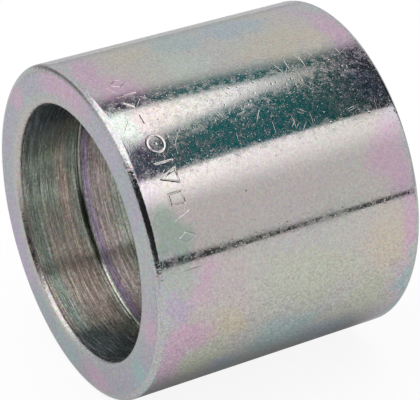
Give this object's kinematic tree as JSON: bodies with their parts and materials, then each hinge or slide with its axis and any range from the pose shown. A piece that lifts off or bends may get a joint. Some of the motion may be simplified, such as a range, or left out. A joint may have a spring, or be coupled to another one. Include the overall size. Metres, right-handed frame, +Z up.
{
  "type": "rigid sleeve coupling",
  "caption": "Short round steel sleeve with a wide through bore, a narrow groove inside each mouth, rounded outer edges and an iridescent zinc-plated finish.",
  "frame": {"origin": "on the bore's axis, halfway between the two end faces", "axes": "+X along the bore, -X out of the mouth with the stamped band beside it, +Z up as the sleeve lies on its side"},
  "size_m": [0.0292, 0.034, 0.034],
  "materials": {
    "zinc_plated_steel": "fine-turned steel with bright zinc plating and a pastel iridescent passivation, semi-gloss"
  },
  "bodies": {
    "root": {"coupling_sleeve": "zinc_plated_steel"}
  },
  "joints": []
}
